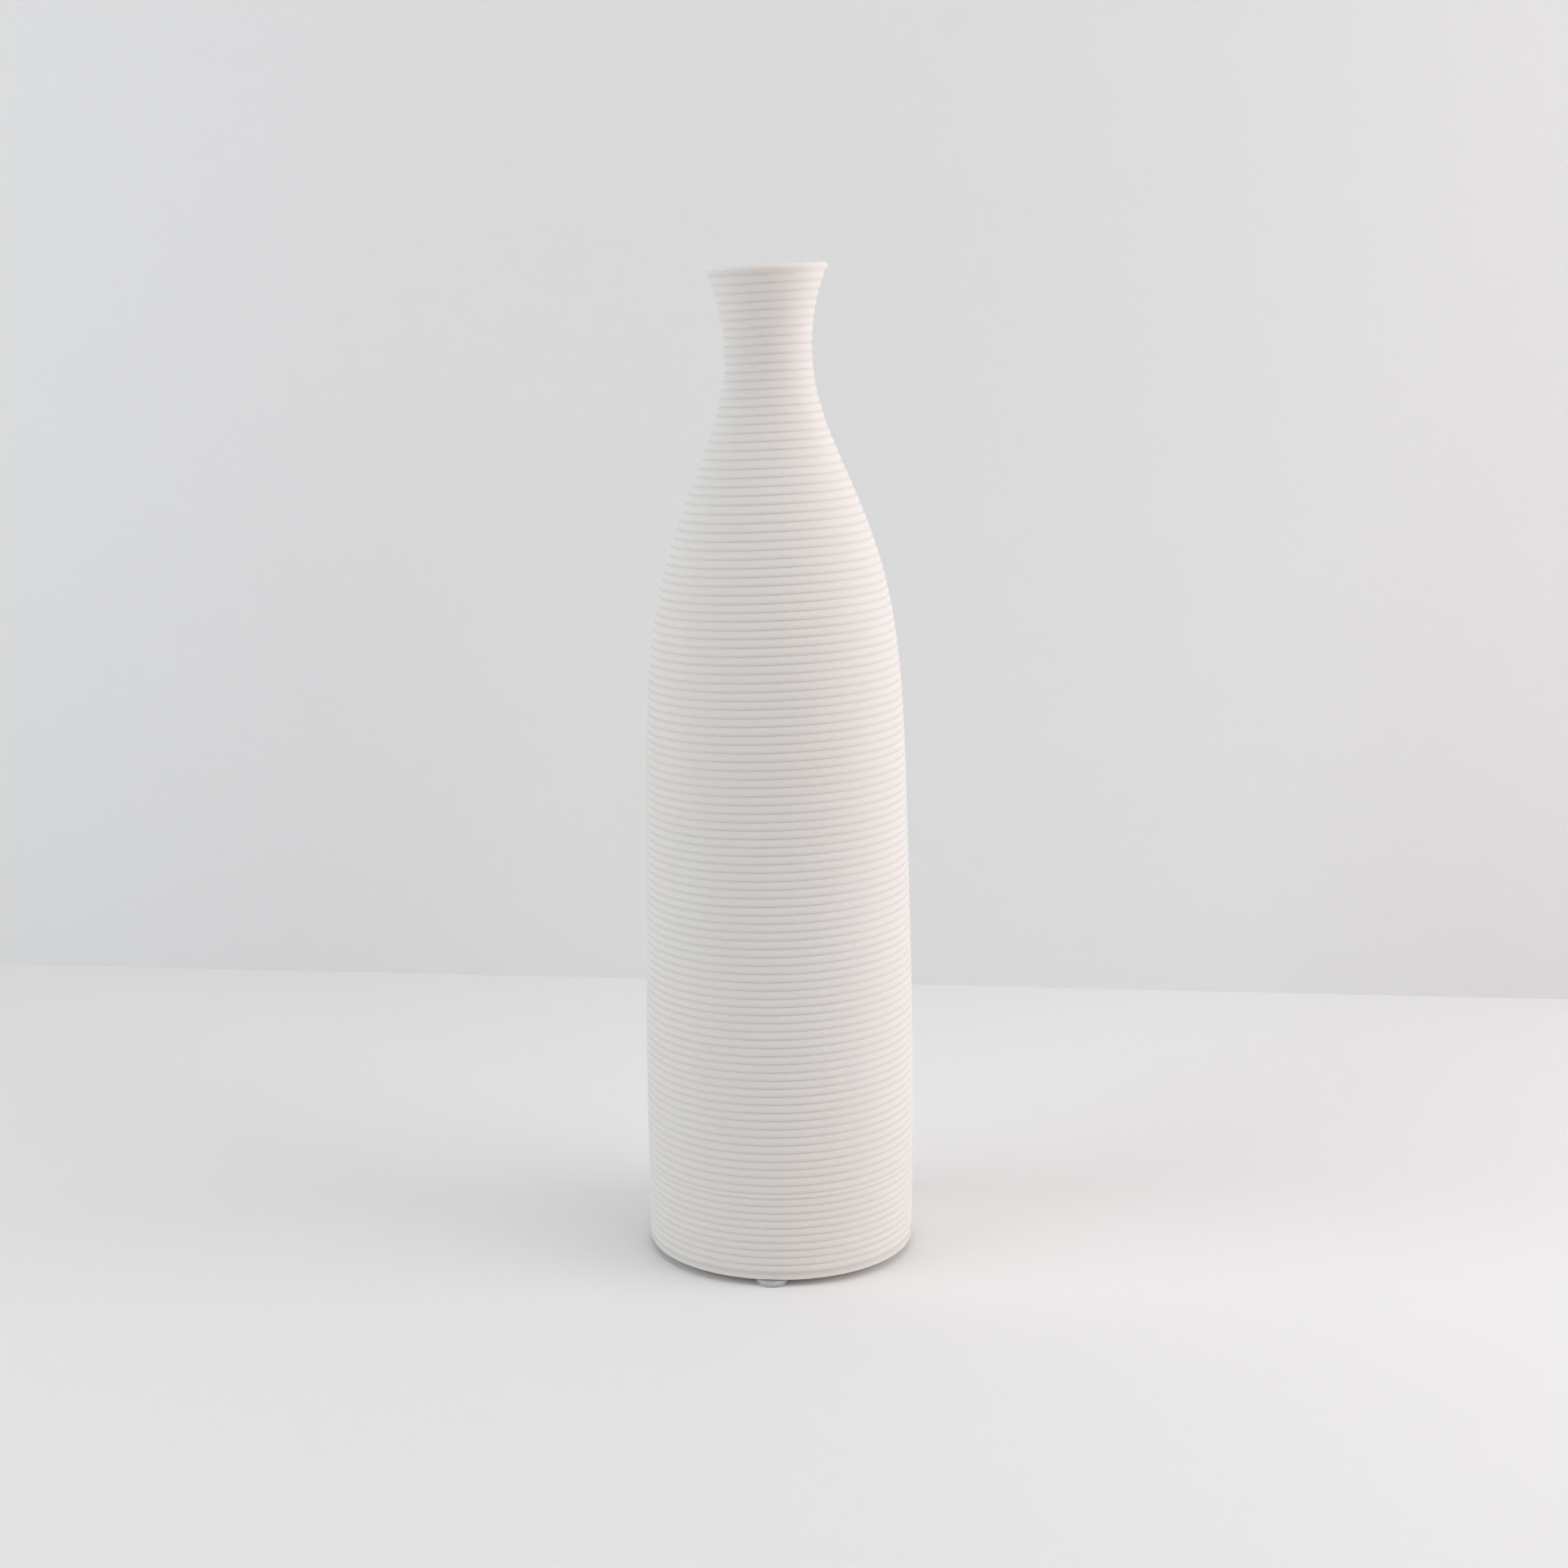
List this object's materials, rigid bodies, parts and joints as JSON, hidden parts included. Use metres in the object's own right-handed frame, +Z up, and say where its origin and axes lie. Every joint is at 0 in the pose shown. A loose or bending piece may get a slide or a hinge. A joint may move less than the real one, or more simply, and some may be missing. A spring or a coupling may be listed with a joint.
{
  "type": "bud vase",
  "caption": "Tall ribbed ceramic bud vase with a long shoulder, a narrow flared neck and a flat foot raised on small clear bumper pads.",
  "frame": {"origin": "on the floor under the middle of the foot", "axes": "+Z up along the vase, -Y towards the front bumper pad, the neck leans towards -X"},
  "size_m": [0.0801, 0.0803, 0.2909],
  "materials": {
    "ceramic_body": "matt, unglazed warm off-white, with fine grain",
    "clear_pad": "clear soft polyurethane with a faint blue tint",
    "clear_adhesive": "clear pressure-sensitive adhesive"
  },
  "bodies": {
    "root": {"vase_body": "ceramic_body", "front_bumper_pad": "clear_pad", "front_adhesive_disc": "clear_adhesive", "back_right_bumper_pad": "clear_pad", "back_right_adhesive_disc": "clear_adhesive", "back_left_bumper_pad": "clear_pad", "back_left_adhesive_disc": "clear_adhesive"}
  },
  "joints": []
}
